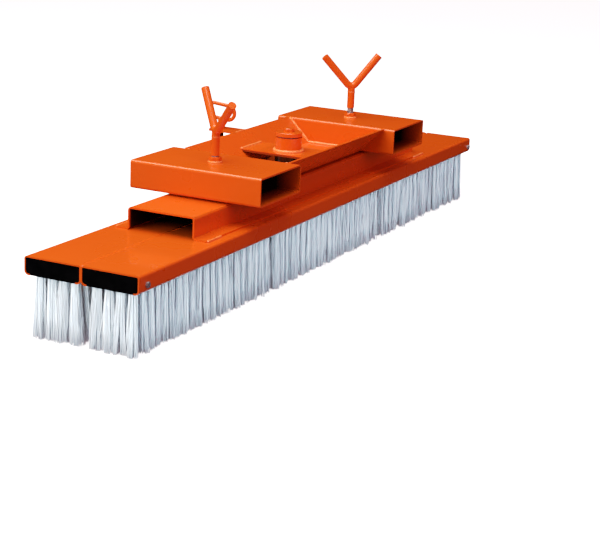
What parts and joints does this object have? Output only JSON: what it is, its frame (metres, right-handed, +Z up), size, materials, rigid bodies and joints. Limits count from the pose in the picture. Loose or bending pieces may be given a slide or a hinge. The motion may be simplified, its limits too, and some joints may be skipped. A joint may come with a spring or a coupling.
{
  "type": "fork truck broom",
  "caption": "Wide push broom with fork pockets on a swivelling carriage, hand-screw clamps, a drop pin that locks the angle, and bristle under folded channels.",
  "frame": {"origin": "on the floor, under the middle of the object's footprint; the swivel axis is 30.4 mm in front of it, at Y = -0.0304", "axes": "+X along the broom to its right end, +Y from the broom's front towards the drop pin, +Z up, away from the floor"},
  "size_m": [1.5, 0.3387, 0.3913],
  "materials": {
    "orange_paint": "gloss powder coat over folded steel sheet",
    "black_plastic": "moulded black plastic",
    "white_bristle": "white drawn plastic bristle",
    "zinc_plate": "bright zinc plate",
    "bare_steel": "greased turned steel",
    "wear_plastic": "black wear plastic"
  },
  "bodies": {
    "broom_head": {"front_channel": "orange_paint", "front_left_block": "black_plastic", "front_left_bristle": "white_bristle", "front_middle_block": "black_plastic", "front_middle_bristle": "white_bristle", "front_right_block": "black_plastic", "front_right_bristle": "white_bristle", "rear_channel": "orange_paint", "rear_left_block": "black_plastic", "rear_left_bristle": "white_bristle", "rear_middle_block": "black_plastic", "rear_middle_bristle": "white_bristle", "rear_right_block": "black_plastic", "rear_right_bristle": "white_bristle", "block_bolts": "zinc_plate", "hat_rail": "orange_paint", "slide_plate": "wear_plastic", "index_plate": "orange_paint", "swivel_post": "bare_steel", "post_cap": "orange_paint", "cap_bolt": "orange_paint"},
    "carriage": {"left_fork_pocket": "orange_paint", "right_fork_pocket": "orange_paint", "trough_bridge": "orange_paint", "boss_plate": "orange_paint", "swivel_boss": "orange_paint", "lock_tab": "orange_paint", "clamp_nuts": "orange_paint"},
    "lock_pin": {"drop_pin": "orange_paint", "drop_pin_loop": "orange_paint", "drop_pin_stop": "zinc_plate"},
    "left_clamp_pad": {"left_clamp_foot": "zinc_plate"},
    "left_clamp_screw": {"left_clamp_spindle": "zinc_plate", "left_clamp_lever": "orange_paint"},
    "right_clamp_pad": {"right_clamp_foot": "zinc_plate"},
    "right_clamp_screw": {"right_clamp_spindle": "zinc_plate", "right_clamp_lever": "orange_paint"}
  },
  "joints": [
    {"name": "carriage_swivel", "type": "hinge", "parent": "broom_head", "child": "carriage", "pos_m": [0, -0.0304, 0.1948], "axis": [0, 0, 1], "range_deg": [-30, 30]},
    {"name": "lock_pin_lift", "type": "slide", "parent": "carriage", "child": "lock_pin", "axis": [0, 0, 1], "range_m": [-0.0135, 0.015]},
    {"name": "left_clamp_feed", "type": "slide", "parent": "carriage", "child": "left_clamp_pad", "axis": [0, 0, -1], "range_m": [-0.009, 0.001]},
    {"name": "left_clamp_turn", "type": "hinge", "parent": "left_clamp_pad", "child": "left_clamp_screw", "pos_m": [-0.3, -0.0279, 0.2493], "axis": [0, 0, -1], "range_deg": [-1620, 180]},
    {"name": "right_clamp_feed", "type": "slide", "parent": "carriage", "child": "right_clamp_pad", "axis": [0, 0, -1], "range_m": [0, 0.01]},
    {"name": "right_clamp_turn", "type": "hinge", "parent": "right_clamp_pad", "child": "right_clamp_screw", "pos_m": [0.3, -0.0279, 0.2493], "axis": [0, 0, -1], "range_deg": [0, 1800]}
  ],
  "couplings": [
    {"joint": "left_clamp_feed", "follows": "left_clamp_turn", "m_per_rad": 0.00031831},
    {"joint": "right_clamp_feed", "follows": "right_clamp_turn", "m_per_rad": 0.00031831}
  ]
}
